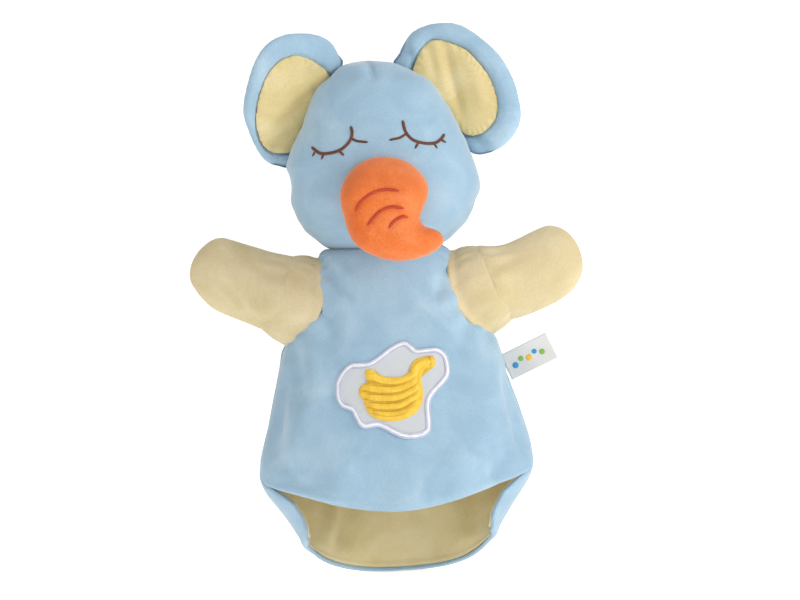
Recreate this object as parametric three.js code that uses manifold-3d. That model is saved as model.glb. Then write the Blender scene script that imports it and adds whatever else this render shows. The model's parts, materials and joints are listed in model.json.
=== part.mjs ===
// Plush elephant hand puppet: plush skins, linings, stuffing and embroidery, each its own closed body.
// Millimetres, +Z up, front towards -Y. The origin is the middle of the hand opening at its lowest hem.
import * as THREE from 'three';
import { mergeVertices } from 'three/addons/utils/BufferGeometryUtils.js';
import Module from 'manifold-3d';

const wasm = await Module();
wasm.setup();

// Driving dimensions
const plush = 2.2;              // thickness of the plush fabric with its pile
const liningCloth = 1.0;        // thickness of the lining cloth
const gap = 0.3;                // clearance left between pieces that touch
const headX = 1.5;              // the head sits a little to the right of the body's midline
const headDepthRatio = 0.75;    // head depth over head width
const neck = new THREE.Vector3(headX, 0, 172);
const neckBall = 26;            // radius of the round neck opening in the body
const shoulderX = 60.5;
const shoulderZ = 157;
const armBall = 24.5;           // radius of the round armhole in the body
const armLift = { left: 21, right: 15 };   // rest angle of each arm above level, degrees
const armDepthRatio = 0.76;
const earTurn = { left: 24, right: 6 };    // how far each ear is turned to the front at rest, degrees
const earThickness = 9;
const earCut = 30;              // the ear's root is cut free of the head over this turn, degrees
const trunkThickness = 24;
const trunkBackY = -40.2;       // plane where the trunk lies on the face

const colours = {
  blue: 0xb2d0e6, cream: 0xe5d7a8, earCream: 0xe2d196, orange: 0xf08242, thread: 0xc2401c,
  brown: 0x6c3c24, white: 0xeeeef0, grey: 0xd4d6da, yellow: 0xf2be2c, wadding: 0xf4f2ee,
};

const group = new THREE.Group();
const v2 = (list) => list.map(([x, y]) => new THREE.Vector2(x, y));
const v3 = (list) => list.map(([x, y, z]) => new THREE.Vector3(x, y, z));
const rad = THREE.MathUtils.degToRad;
const smooth = (list, steps, closed = false) => {
  const curve = new THREE.CatmullRomCurve3(list.map(([x, y]) => new THREE.Vector3(x, y, 0)), closed);
  const points = v2(curve.getPoints(steps).map((p) => [p.x, p.y]));
  return closed ? points.slice(0, -1) : points;
};

// A closed geometry becomes a solid that can be joined and cut.
function solid(geometry) {
  geometry.deleteAttribute('normal');
  geometry.deleteAttribute('uv');
  const merged = mergeVertices(geometry, 1e-4);
  return new wasm.Manifold(new wasm.Mesh({
    numProp: 3,
    vertProperties: merged.attributes.position.array,
    triVerts: new Uint32Array(merged.index.array),
  }));
}

function add(name, body, colour, roughness = 0.95) {
  const cut = body.getMesh();
  const geometry = new THREE.BufferGeometry();
  geometry.setAttribute('position', new THREE.BufferAttribute(new Float32Array(cut.vertProperties), 3));
  geometry.setIndex(new THREE.BufferAttribute(new Uint32Array(cut.triVerts), 1));
  geometry.computeVertexNormals();
  const material = new THREE.MeshStandardMaterial({ color: colours[colour], roughness, metalness: 0 });
  const mesh = new THREE.Mesh(geometry, material);
  mesh.name = name;
  group.add(mesh);
}

const box = (x0, x1, y0, y1, z0, z1) => solid(new THREE.BoxGeometry(x1 - x0, y1 - y0, z1 - z0)
  .translate((x0 + x1) / 2, (y0 + y1) / 2, (z0 + z1) / 2));
const ball = (centre, radius) => solid(new THREE.SphereGeometry(radius, 24, 16)
  .rotateX(Math.PI / 2).translate(centre.x, centre.y, centre.z));
const frontSpace = box(-200, 200, -200, -gap / 2, -50, 400);
const backSpace = box(-200, 200, gap / 2, 200, -50, 400);

// A round form turned about the vertical, flattened front to back.
function turned(profile, depthRatio, around = 24) {
  return new THREE.LatheGeometry(profile, around).scale(1, 1, depthRatio).rotateX(Math.PI / 2);
}

// A profile moved inwards by a distance, square to itself.
function inset(points, distance) {
  return points.map((p, i) => {
    const a = points[Math.max(i - 1, 0)];
    const b = points[Math.min(i + 1, points.length - 1)];
    const along = b.clone().sub(a).normalize();
    const moved = new THREE.Vector2(p.x - along.y * distance, p.y + along.x * distance);
    moved.x = p.x < 1e-6 ? 0 : Math.max(moved.x, 0.5);
    return moved;
  });
}

// A closed outline drawn in all round by a distance.
function drawIn(outline, distance) {
  const turn = THREE.ShapeUtils.isClockWise(outline) ? -1 : 1;
  return outline.map((p, i) => {
    const before = outline.at(i - 1);
    const after = outline[(i + 1) % outline.length];
    const along = after.clone().sub(before).normalize().multiplyScalar(turn * distance);
    return new THREE.Vector2(p.x - along.y, p.y + along.x);
  });
}

// A cup: the wall between a profile and its inset, open at the profile's first point.
function cup(profile, wall, depthRatio, around) {
  const inner = inset(profile, wall).reverse();
  return turned([...inner, ...profile], depthRatio, around);
}

// An outline in the front view becomes a block that runs front to back.
function block(outline, y0, y1) {
  const depth = y1 - y0;
  const geometry = new THREE.ExtrudeGeometry(new THREE.Shape(outline), { depth, bevelEnabled: false });
  return solid(geometry.rotateX(Math.PI / 2).translate(0, y1, 0));
}

// A padded outline with round edges, lying between two depths and drawn in all round by a distance.
function pillow(outline, y0, y1, roundDepth, roundWidth, less = 0) {
  const geometry = new THREE.ExtrudeGeometry(new THREE.Shape(outline), {
    depth: y1 - y0 - 2 * roundDepth, bevelThickness: roundDepth - less, bevelSize: roundWidth - less,
    bevelOffset: -roundWidth, bevelSegments: 2,
  });
  return solid(geometry.rotateX(Math.PI / 2).translate(0, y1 - roundDepth, 0));
}

// A line of thread in the front view, made deep enough to be trimmed to any surface behind it.
function stitchLine(points, width) {
  const path = new THREE.CatmullRomCurve3(v3(points.map(([x, z]) => [x, 0, z])));
  const section = new THREE.Shape(v2([[-0.5, -0.5], [0.5, -0.5], [0.5, 0.5], [-0.5, 0.5]]
    .map(([x, y]) => [x * width, y * width])));
  const geometry = new THREE.ExtrudeGeometry(section, { steps: 2 * points.length, extrudePath: path });
  return solid(geometry.scale(1, 160 / width, 1));
}

// ---- Body: a bag with a seam up each side and a back that hangs lower than the front ----
const bodyCurve = new THREE.CatmullRomCurve3(v3([   // half width, half depth, level
  [42, 29, -4], [50, 33, 13], [61, 36, 31], [73, 38.5, 50], [74, 39, 65], [69, 37.5, 85], [63.5, 35, 105],
  [58, 32, 127], [52, 29, 149], [44, 26, 161.5], [35, 21, 167], [24, 15, 169.5]]));
const bodyTop = 169.5;
const bodyFoot = -4;

function bodySection(z) {
  let low = 0;
  let high = 1;
  for (let i = 0; i < 22; i += 1) {
    const middle = (low + high) / 2;
    if (bodyCurve.getPoint(middle).z < z) low = middle;
    else high = middle;
  }
  return bodyCurve.getPoint(low);
}

// A half of the bag from side to side: w runs across it, v from the lowest hem to the shoulder.
function bodyPoint(side, w, v) {
  const z = bodyFoot + v * (bodyTop - bodyFoot);
  const section = bodySection(z);
  const angle = (side === 'front' ? 0 : Math.PI) + w * Math.PI / 2;
  return new THREE.Vector3(section.x * Math.sin(angle), -section.y * Math.cos(angle), z);
}

// A bent sheet of the bag between two distances outside its surface.
function bodySheet(side, inner, outer, across, up, from = 0, to = 1, half = 1) {
  const geometry = new THREE.BoxGeometry(1, 1, 1, across, up, 1);
  const position = geometry.attributes.position;
  for (let i = 0; i < position.count; i += 1) {
    const w = 2 * half * position.getX(i);
    const v = from + (to - from) * (position.getY(i) + 0.5);
    const at = bodyPoint(side, w, v);
    const alongW = bodyPoint(side, w + 1e-3, v).sub(bodyPoint(side, w - 1e-3, v));
    const alongV = bodyPoint(side, w, v + 1e-3).sub(bodyPoint(side, w, v - 1e-3));
    at.addScaledVector(alongW.cross(alongV).normalize(), position.getZ(i) > 0 ? outer : inner);
    position.setXYZ(i, at.x, at.y, at.z);
  }
  return solid(geometry);
}

// The space in front of or behind the side seam, which runs down the side and then along the scoop's rim
// to the lowest hem at the back.
function seamSpace(side) {
  const away = side === 'front' ? -1 : 1;
  const line = [[60, -20], [34, -1], [27, 3], [16, 7.5], [0, 13], [-14, 20], [-18.5, 30], [-19.3, 45],
    [-17, 50], [-6, 56.5], [0, 60], [0, 300]];
  const outline = [...line.map(([y, z]) => [y + away * gap, z]), [away * 200, 300], [away * 200, -20]];
  const across = { depth: 400, bevelEnabled: false };
  const geometry = new THREE.ExtrudeGeometry(new THREE.Shape(v2(outline)), across);
  return solid(geometry.rotateX(Math.PI / 2).rotateZ(Math.PI / 2).translate(-across.depth / 2, 0, 0));
}

// What lies below the front hem.
const frontHem = smooth([[-85, 56], [-67, 50], [-58, 45.5], [-40, 38.5], [-20, 35.2], [0, 34], [20, 35.2],
  [40, 38.5], [58, 45.5], [67, 50], [85, 56]], 20);
const belowHem = block([...frontHem, ...v2([[85, -30], [-85, -30]])], -60, 60);
const bodySpace = { front: seamSpace('front').subtract(belowHem), back: seamSpace('back') };

const shoulders = {
  left: new THREE.Vector3(-shoulderX, 0, shoulderZ),
  right: new THREE.Vector3(shoulderX, 0, shoulderZ),
};

// The bag with its armholes and neck opening cut, each larger than its ball by a distance.
function holed(body, extra) {
  const left = ball(shoulders.left, armBall + extra);
  const right = ball(shoulders.right, armBall + extra);
  return body.subtract(left).subtract(right).subtract(ball(neck, neckBall + extra));
}

function bag(inner, outer, extra) {
  const front = bodySheet('front', inner, outer, 12, 12, 0, 1, 1.02);
  return holed(front.add(bodySheet('back', inner, outer, 12, 12)), extra);
}
const bodySkin = bag(-plush, 0, 0);
const liningOut = -plush - 2 * gap;
const bodyLining = bag(liningOut - liningCloth, liningOut, 1);
for (const side of ['front', 'back']) {
  add(`body_${side}_panel`, bodySkin.intersect(bodySpace[side]), 'blue');
  add(`body_${side}_lining`, bodyLining.intersect(bodySpace[side]), 'cream');
}

// Belly patch: a cloud of white cloth, its satin-stitched edge, and the embroidered bunch of bananas.
const cloud = smooth([[-30, 98], [-26, 90.5], [-19.5, 84.5], [-14, 80.5], [-5.5, 79.5], [3.5, 74.8],
  [12, 73.6], [19, 77.5], [20.5, 90], [25, 99.5], [31, 108], [29, 118.5], [19, 121], [9, 125.2],
  [-1, 121.5], [-12, 115.5], [-21.5, 115], [-28, 108]], 36, true);
const bananas = smooth([[-14, 111.5], [-8, 110], [3.5, 106.8], [10, 109.5], [14, 116], [23.5, 117.2],
  [23.5, 111.8], [17, 108.5], [16.5, 98], [12.5, 87.6], [3.5, 83.5], [-8.5, 84.6], [-15, 91], [-18, 99],
  [-15.5, 104.5]], 32, true);
const bellySheet = (inner, outer) => bodySheet('front', inner, outer, 8, 6, 0.22, 0.72, 0.55);
const edging = 2;
add('belly_patch', block(drawIn(cloud, edging), -60, -10).intersect(bellySheet(gap, 1.2)), 'grey');
add('patch_border', block(cloud, -60, -10).subtract(block(drawIn(cloud, edging - gap), -60, -10))
  .intersect(bellySheet(gap, 1.8)), 'white', 0.5);
add('banana_bunch', block(bananas, -60, -10).intersect(bellySheet(1.5, 3)), 'yellow', 0.5);

// Side label: a folded ribbon caught in the right side seam, slanting upwards.
const labelLength = 26;
const labelWidth = 15;
const labelSlant = 23;
const labelFold = 0.8;
const labelRoot = { x: 64.9, z: 108.5 };
add('side_label', solid(new THREE.BoxGeometry(labelLength, labelFold, labelWidth)
  .translate(labelLength / 2, 0, 0).rotateY(-rad(labelSlant)).translate(labelRoot.x, 0, labelRoot.z)),
'white', 0.6);

// ---- Neck: seam band and the mouth of the finger passage ----
// A band of a ball's skin between two angles from its top.
function bandRing(radius, wall, from, to) {
  const corner = (r, angle) => new THREE.Vector2(r * Math.sin(rad(angle)), r * Math.cos(rad(angle)));
  const profile = [corner(radius, to), corner(radius, from), corner(radius - wall, from),
    corner(radius - wall, to)];
  return turned([...profile, profile[0]], 1, 20);
}
const seamBand = 1;              // thickness of the turned-in edges in a seam band
const funnelBall = 21.2;
const neckSeam = bandRing(neckBall - 3 * gap, seamBand, 101, 111);
const neckFunnel = bandRing(funnelBall, liningCloth, 120, 150);
add('neck_seam', solid(neckSeam.translate(neck.x, neck.y, neck.z)), 'blue');
add('neck_lining', solid(neckFunnel.translate(neck.x, neck.y, neck.z)), 'cream');

// ---- Head: plush front and back, stuffing, finger pocket, embroidered eyes ----
const headProfile = smooth([[13, 158], [16.5, 165], [23.2, 174.5], [31, 180.6], [40, 186.5], [46.5, 193.5],
  [50.5, 202], [52, 211], [51.5, 220], [48.5, 231], [43.5, 243.5], [38.5, 255], [33, 265], [25, 272.5],
  [14, 277.8], [0, 279.3]], 13);
headProfile[headProfile.length - 1].x = 0;
const headShell = solid(cup(headProfile, plush, headDepthRatio, 20).translate(headX, 0, 0));
add('head_front_panel', headShell.intersect(frontSpace), 'blue');
add('head_back_panel', headShell.intersect(backSpace), 'blue');
const pocketRadius = 12;
const pocketTop = 232;
const pocketOuter = v2([[pocketRadius, 176], [pocketRadius, 215], [pocketRadius * 0.8, 226],
  [pocketRadius * 0.45, 231], [0, pocketTop]]);
const stuffingProfile = inset(headProfile, plush + gap);
const stuffingBlock = solid(turned([new THREE.Vector2(0, stuffingProfile[0].y), ...stuffingProfile],
  headDepthRatio, 20).translate(headX, 0, 0));
const pocketRoom = solid(turned(v2([[0, 150], [pocketRadius + gap, 150], [pocketRadius + gap, 215],
  [pocketRadius * 0.8 + gap, 226.3], [pocketRadius * 0.45 + gap, 231.4], [0, pocketTop + gap]]), 0.8, 16)
  .translate(headX, 0, 0));
const stuffingFoot = 177;
const belowStuffing = box(-60, 60, -60, 60, 140, stuffingFoot);
add('head_stuffing', stuffingBlock.subtract(pocketRoom).subtract(belowStuffing), 'wadding', 1);
add('finger_pocket', solid(cup(pocketOuter, liningCloth, 0.8, 16).translate(headX, 0, 0)), 'cream');

// The head's whole form, grown outwards by a distance.
function headForm(distance) {
  const profile = inset(headProfile, -distance / headDepthRatio);
  return solid(turned([new THREE.Vector2(0, profile[0].y), ...profile], headDepthRatio, 20)
    .translate(headX, 0, 0));
}
const threadWidth = 1.4;
const eyes = {
  eye_left: [[[-14.5, 244], [-14.3, 239], [-18, 233.2], [-25.5, 230], [-32, 230.6], [-36.3, 233.8]],
    [[-15.4, 237], [-10.5, 235.2], [-5.5, 234.6]], [[-34, 231.6], [-36.6, 228.4]],
    [[-29, 229.9], [-31.6, 226.4]], [[-22, 231.2], [-19.2, 227.8]]],
  eye_right: [[[13.5, 245.5], [14.4, 240], [17.5, 235.4], [23.5, 232.3], [30.5, 232.2], [36, 237]],
    [[15.4, 237.6], [11, 236], [5.5, 235]], [[21.8, 233], [19.4, 229.4]],
    [[29.7, 232.4], [31.6, 229]], [[33, 234], [36.8, 231.8]]],
};
const eyeLayer = headForm(1.3).subtract(headForm(gap)).intersect(frontSpace);
for (const [name, lines] of Object.entries(eyes)) {
  const strokes = lines.map((line) => stitchLine(line, threadWidth));
  const joined = strokes.reduce((all, stroke) => all.add(stroke));
  add(name, joined.intersect(eyeLayer), 'brown', 0.6);
}

// ---- Trunk: two orange panels round a stuffing, with three embroidered creases ----
const trunkOutline = smooth([[1, 227.3], [11, 225.6], [20.5, 219.5], [26, 210], [25, 201], [21.7, 193],
  [24.5, 186.8], [31.5, 183], [33, 177], [27, 171], [16, 168.4], [3, 168.8], [-8, 173], [-17, 181.5],
  [-21, 191], [-23.5, 204], [-20, 216], [-11, 224.8]], 30, true);
const trunkFrontY = trunkBackY - trunkThickness;
const trunkForm = (less) => pillow(trunkOutline, trunkFrontY, trunkBackY, 9, 5, less);
const trunkMiddle = (trunkFrontY + trunkBackY) / 2;
const trunkSkin = trunkForm(0).subtract(trunkForm(plush));
add('trunk_front_panel', trunkSkin.intersect(box(-60, 60, -90, trunkMiddle - gap / 2, 150, 240)), 'orange');
add('trunk_back_panel', trunkSkin.intersect(box(-60, 60, trunkMiddle + gap / 2, -30, 150, 240)), 'orange');
add('trunk_stuffing', trunkForm(plush + gap), 'wadding', 1);
const creases = [
  [[-14.5, 197], [-9.5, 203.5], [-1.5, 207.5], [9.8, 206.8]],
  [[-8.5, 189], [-2.5, 195.6], [5.5, 198.4], [11.8, 197.3]],
  [[3, 187], [7.5, 191.7], [13.8, 192.3]]];
creases.forEach((line, i) => {
  const layer = box(-60, 60, trunkFrontY - gap - 1, trunkFrontY - gap, 150, 240);
  add(`trunk_crease_${i + 1}`, stitchLine(line, 1.4).intersect(layer), 'thread', 0.6);
});

// ---- Ears: padded blue back with a cream lining set in its front, hinged along its seam in the head ----
const earOuter = smooth([[9, 272], [12, 284], [20, 294.5], [33, 298.2], [48, 295.5], [62, 285.5],
  [72, 269.5], [77, 250], [73, 236], [61, 226.5], [48, 226.5], [40, 240], [24, 258]], 30, true);
const earInner = smooth([[15, 268], [18.5, 279], [29, 290], [42, 287.8], [55, 276.5], [63, 262],
  [65, 248], [57, 236.5], [47, 234], [38, 244], [24, 260]], 26, true);
const earRoot = { top: [21, 274], bottom: [49, 235] };
const liningDepth = 2;
for (const side of ['left', 'right']) {
  const mirror = side === 'left' ? -1 : 1;
  const place = (outline) => v2(outline.map((p) => [headX + mirror * p.x, p.y]));
  const [outer, inner] = [place(earOuter), place(earInner)];
  const root = new THREE.Vector3(headX + mirror * earRoot.top[0], earThickness / 2, earRoot.top[1]);
  const foot = new THREE.Vector3(headX + mirror * earRoot.bottom[0], earThickness / 2, earRoot.bottom[1]);
  const axis = foot.clone().sub(root).normalize();
  const about = (angle) => new THREE.Matrix4().makeTranslation(root.x, root.y, root.z)
    .multiply(new THREE.Matrix4().makeRotationAxis(axis, angle))
    .multiply(new THREE.Matrix4().makeTranslation(-root.x, -root.y, -root.z));
  const turn = (body, degrees) => body.transform(about(rad(degrees)).elements);
  const toFront = -mirror * earTurn[side];
  let room = headForm(gap);
  for (let step = -2; step <= 2; step += 1) {
    room = room.add(turn(headForm(gap), step * earCut / 2 - toFront));
  }
  const back = pillow(outer, 0, earThickness, 3, 3).subtract(block(inner, -5, earThickness - 3.5));
  const lining = block(drawIn(inner, gap), 0.4, 0.4 + liningDepth);
  const wadding = block(drawIn(inner, 2 * gap), 0.7 + liningDepth, earThickness - 3.8);
  add(`ear_${side}_back`, turn(back.subtract(room), toFront), 'blue');
  add(`ear_${side}_lining`, turn(lining.subtract(room), toFront), 'earCream');
  add(`ear_${side}_wadding`, turn(wadding.subtract(room), toFront), 'wadding', 1);
}

// ---- Arms: front and back of cream plush round a finger sleeve, with a ball-shaped root in the armhole ----
const armProfile = smooth([[13, -17.6], [17, -13.6], [20.4, -7.4], [21.5, 0], [20.6, 12], [20.3, 25],
  [18, 35], [13.5, 42], [7.5, 46.3], [0, 48]], 10);
armProfile[armProfile.length - 1].x = 0;

// An arm's form stands up from the shoulder; it is round at its root and flatter towards the paw.
function armForm(geometry, side) {
  const position = geometry.attributes.position;
  for (let i = 0; i < position.count; i += 1) {
    const flat = THREE.MathUtils.smoothstep(position.getZ(i), -10, 14);
    position.setY(i, position.getY(i) * (1 - (1 - armDepthRatio) * flat));
  }
  const turn = (side === 'left' ? -1 : 1) * rad(90 - armLift[side]);
  return solid(geometry.rotateY(turn).translate(shoulders[side].x, 0, shoulderZ));
}
const sleeveProfile = inset(armProfile, plush + 2 * gap);
for (const side of ['left', 'right']) {
  const skin = armForm(cup(armProfile, plush, 1, 18), side);
  add(`arm_${side}_front_panel`, skin.intersect(frontSpace), 'cream');
  add(`arm_${side}_back_panel`, skin.intersect(backSpace), 'cream');
  add(`arm_${side}_lining`, armForm(cup(sleeveProfile, liningCloth, 1, 18), side), 'cream');
  add(`armhole_seam_${side}`, armForm(bandRing(armBall - 3 * gap, seamBand, 122, 131), side), 'cream');
}

export default group;
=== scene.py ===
import json
import math
import bpy
import numpy as np
from mathutils import Matrix, Vector
from mathutils.bvhtree import BVHTree

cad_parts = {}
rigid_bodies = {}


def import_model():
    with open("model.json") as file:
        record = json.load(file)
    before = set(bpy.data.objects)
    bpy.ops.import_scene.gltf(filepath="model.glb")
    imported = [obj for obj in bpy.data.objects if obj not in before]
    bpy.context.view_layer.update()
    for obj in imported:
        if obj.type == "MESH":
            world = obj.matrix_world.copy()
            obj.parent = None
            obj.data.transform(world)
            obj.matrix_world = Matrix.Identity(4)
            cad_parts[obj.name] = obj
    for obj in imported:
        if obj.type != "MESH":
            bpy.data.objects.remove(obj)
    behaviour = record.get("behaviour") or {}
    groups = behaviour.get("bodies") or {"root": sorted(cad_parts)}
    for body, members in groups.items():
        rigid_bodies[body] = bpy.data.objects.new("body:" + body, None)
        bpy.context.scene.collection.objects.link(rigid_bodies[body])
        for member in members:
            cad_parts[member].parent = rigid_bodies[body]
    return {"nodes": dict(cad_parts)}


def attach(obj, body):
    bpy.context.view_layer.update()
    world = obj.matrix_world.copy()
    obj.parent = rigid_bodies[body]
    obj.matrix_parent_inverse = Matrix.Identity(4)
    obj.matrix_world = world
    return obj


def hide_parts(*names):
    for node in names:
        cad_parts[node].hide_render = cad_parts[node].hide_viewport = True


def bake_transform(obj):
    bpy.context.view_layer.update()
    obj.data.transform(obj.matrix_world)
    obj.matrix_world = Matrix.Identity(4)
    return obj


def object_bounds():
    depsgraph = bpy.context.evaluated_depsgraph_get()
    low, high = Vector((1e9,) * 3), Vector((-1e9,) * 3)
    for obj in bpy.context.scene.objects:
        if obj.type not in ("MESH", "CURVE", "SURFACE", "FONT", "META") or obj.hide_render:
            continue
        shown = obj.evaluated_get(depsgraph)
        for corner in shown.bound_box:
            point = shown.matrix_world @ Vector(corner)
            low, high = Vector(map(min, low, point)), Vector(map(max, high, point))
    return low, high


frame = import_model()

# Plush elephant hand puppet: velboa skins, brushed linings, satin-stitched eyes, patch and bananas.
# Metres, +Z up, face towards -Y, as the loaded frame has it. Lengths below are written in mm and scaled by mm.
mm = 0.001
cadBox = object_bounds()
shoulder = {"left": np.array([-60.5, 0.0, 157.0]), "right": np.array([60.5, 0.0, 157.0])}
print("frame loaded")


# ---------- small tools ----------
def srgb(hexText, alpha=1.0):  # sRGB hex to linear: c/12.92 near black, else ((c+0.055)/1.055)^2.4
    c = np.array([int(hexText[i:i + 2], 16) / 255 for i in (0, 2, 4)])
    c = np.where(c <= 0.04045, c / 12.92, ((c + 0.055) / 1.055) ** 2.4)
    return (*c.tolist(), alpha)


def spline(points, count, closed=False):  # Catmull-Rom through the points, spaced evenly along its length
    p = np.asarray(points, float)
    if closed:
        p = np.vstack([p[-1], p, p[0], p[1]])
    else:
        p = np.vstack([2 * p[0] - p[1], p, 2 * p[-1] - p[-2]])
    t = np.linspace(0, 1, 24, endpoint=False)[:, None]
    a, b, c, d = p[:-3], p[1:-2], p[2:-1], p[3:]
    dense = [0.5 * (2 * b[i] + (c[i] - a[i]) * t + (2 * a[i] - 5 * b[i] + 4 * c[i] - d[i]) * t ** 2
                    + (3 * b[i] - a[i] - 3 * c[i] + d[i]) * t ** 3) for i in range(len(a))]
    dense = np.vstack([*dense, c[-1:]])
    length = np.r_[0, np.cumsum(np.linalg.norm(np.diff(dense, axis=0), axis=1))]
    at = np.linspace(0, length[-1], count + 1 if closed else count)[:count]
    return np.stack([np.interp(at, length, dense[:, k]) for k in range(p.shape[1])], axis=1)


def smoothStep(x, low, high):  # 3t^2 - 2t^3 with t the share of the way from low to high
    t = np.clip((x - low) / (high - low), 0, 1)
    return t * t * (3 - 2 * t)


def ripple(p, scale, seed, octaves=2):  # a smooth wandering value: sines along random directions, summed
    r = np.random.default_rng(seed)
    total = np.zeros(p.shape[:-1])
    for k in range(6 * octaves):
        way = r.normal(size=3)
        way /= np.linalg.norm(way)
        octave = 1 + k // 6
        total += np.sin(p @ way * (2 * math.pi * octave / scale) + r.uniform(0, 6.28)) / octave
    return total / 3.5


def normals(grid):  # cross product of the grid's two tangents
    n = np.cross(np.gradient(grid, axis=1), np.gradient(grid, axis=0))
    return n / np.maximum(np.linalg.norm(n, axis=2, keepdims=True), 1e-9)


def segmentPull(x, z, start, end, width, depth):  # depth x a bell of the distance to a line, fading to its ends
    a, b = np.array(start, float), np.array(end, float)
    way = b - a
    t = ((x - a[0]) * way[0] + (z - a[1]) * way[1]) / (way @ way)
    near = np.clip(t, 0, 1)
    d = np.hypot(x - a[0] - near * way[0], z - a[1] - near * way[1])
    fade = smoothStep(t, -0.15, 0.2) * smoothStep(1 - t, -0.15, 0.3)
    return depth * np.exp(-(d / width) ** 2) * fade


def drawIn(line, distance):  # moves a closed line inwards, square to itself
    along = np.roll(line, -1, 0) - np.roll(line, 1, 0)
    along /= np.linalg.norm(along, axis=1, keepdims=True)
    side = np.stack([-along[:, 1], along[:, 0]], 1)
    area = 0.5 * np.sum(line[:, 0] * np.roll(line[:, 1], -1) - np.roll(line[:, 0], -1) * line[:, 1])
    return line + side * distance * np.sign(area)


def makePiece(name, vertices, faces, material, uv=None):
    mesh = bpy.data.meshes.new(name)
    mesh.from_pydata((np.asarray(vertices).reshape(-1, 3) * mm).tolist(), [], np.asarray(faces).tolist())
    if uv is not None:
        layer = mesh.uv_layers.new(name="UVMap")
        layer.data.foreach_set("uv", np.asarray(uv, float).ravel())
    mesh.polygons.foreach_set("use_smooth", [True] * len(mesh.polygons))
    mesh.update()
    piece = bpy.data.objects.new(name, mesh)
    bpy.context.scene.collection.objects.link(piece)
    mesh.materials.append(material)
    return piece


def gridPiece(name, grid, material, wrap=False, flip=False, uvSize=None, keep=None, turned=False):
    # A grid of points becomes quads; wrap joins the last column to the first; keep marks the points that stay.
    # The UV map is uvSize across the columns and rows; turned swaps the two.
    rows, columns = grid.shape[:2]
    i, j = np.meshgrid(np.arange(rows - 1), np.arange(columns if wrap else columns - 1), indexing="ij")
    jn = (j + 1) % columns
    faces = np.stack([i * columns + j, i * columns + jn, (i + 1) * columns + jn, (i + 1) * columns + j], -1)
    faces = faces.reshape(-1, 4)
    u = np.stack([j, j + 1, j + 1, j], -1).reshape(-1, 4) / (columns if wrap else columns - 1)
    v = np.stack([i, i, i + 1, i + 1], -1).reshape(-1, 4) / (rows - 1)
    uv = np.stack([u, v], -1) * (uvSize if uvSize else (1, 1))
    uv = uv[..., ::-1] if turned else uv
    points = grid.reshape(-1, 3)
    if keep is not None:
        stay = keep.ravel()[faces].any(axis=1)
        used, faces = np.unique(faces[stay], return_inverse=True)
        points, faces, uv = points[used], faces.reshape(-1, 4), uv[stay]
    if flip:
        faces, uv = faces[:, ::-1], uv[:, ::-1]
    piece = makePiece(name, points, faces, material, uv)
    addModifier(piece, "WELD", merge_threshold=0.06 * mm)   # closes seams and poles
    applyModifiers(piece)
    return piece


def addModifier(piece, kind, **settings):
    modifier = piece.modifiers.new(kind.lower(), kind)
    for key, value in settings.items():
        setattr(modifier, key, value)
    return modifier


def applyModifiers(piece):  # the evaluated mesh takes the place of the piece's own
    graph = bpy.context.evaluated_depsgraph_get()
    mesh = bpy.data.meshes.new_from_object(piece.evaluated_get(graph), depsgraph=graph)
    piece.modifiers.clear()
    piece.data = mesh
    mesh.polygons.foreach_set("use_smooth", [True] * len(mesh.polygons))


def coords(piece):
    co = np.empty(len(piece.data.vertices) * 3)
    piece.data.vertices.foreach_get("co", co)
    return co.reshape(-1, 3)


def setCoords(piece, co):
    piece.data.vertices.foreach_set("co", co.ravel())
    piece.data.update()


def stuff(piece, voxel, cap, pressure=4.0, frames=20):
    # Voxel remesh, Cloth under pressure with gravity off, each point's move limited to cap, one subdivision.
    addModifier(piece, "REMESH", mode="VOXEL", voxel_size=voxel * mm)
    applyModifiers(piece)
    start = coords(piece)
    scene = bpy.context.scene
    scene.frame_set(1)
    cloth = piece.modifiers.new("cloth", "CLOTH")
    cloth.settings.use_pressure = True
    cloth.settings.uniform_pressure_force = pressure
    cloth.settings.effector_weights.gravity = 0
    cloth.settings.quality = 5
    cloth.settings.mass = 0.3
    cloth.point_cache.frame_start = 1
    cloth.point_cache.frame_end = frames
    for f in range(1, frames + 1):
        scene.frame_set(f)
    applyModifiers(piece)
    scene.frame_set(1)
    moved = coords(piece) - start
    size = np.linalg.norm(moved, axis=1, keepdims=True)
    setCoords(piece, start + moved * np.minimum(1, cap * mm / np.maximum(size, 1e-9)))
    addModifier(piece, "SUBSURF", levels=1, render_levels=1)
    applyModifiers(piece)


def faceOut(piece):  # a closed piece (two faces on every edge) whose signed volume is negative is turned round
    mesh = piece.data
    if len(mesh.loops) != 2 * len(mesh.edges):
        return
    mesh.calc_loop_triangles()
    corners = np.empty(len(mesh.loop_triangles) * 3, np.int32)
    mesh.loop_triangles.foreach_get("vertices", corners)
    a, b, c = coords(piece)[corners.reshape(-1, 3)].transpose(1, 0, 2)
    if np.einsum("ij,ij->i", np.cross(a, b), c).sum() < 0:
        mesh.flip_normals()


# ---------- materials ----------
def addNode(tree, kind, settings=None, links=None, **values):
    # One node with its properties, socket values, and links from (node, output) pairs.
    node = tree.nodes.new(kind)
    for key, value in (settings or {}).items():
        setattr(node, key, value)
    for key, value in values.items():
        node.inputs[key.replace("_", " ")].default_value = value
    for key, (source, output) in (links or {}).items():
        tree.links.new(source.outputs[output], node.inputs[key])
    return node


def newMaterial(name, **values):
    material = bpy.data.materials.new(name)
    material.use_nodes = True
    shader = material.node_tree.nodes["Principled BSDF"]
    for key, value in {"IOR": 1.5, **values}.items():
        shader.inputs[key.replace("_", " ")].default_value = value
    return material, material.node_tree, shader


def wire(tree, shader, colour, relief):  # the colour and the relief go to the shader
    tree.links.new(colour.outputs["Color"], shader.inputs["Base Color"])
    tree.links.new(relief.outputs["Normal"], shader.inputs["Normal"])


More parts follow.
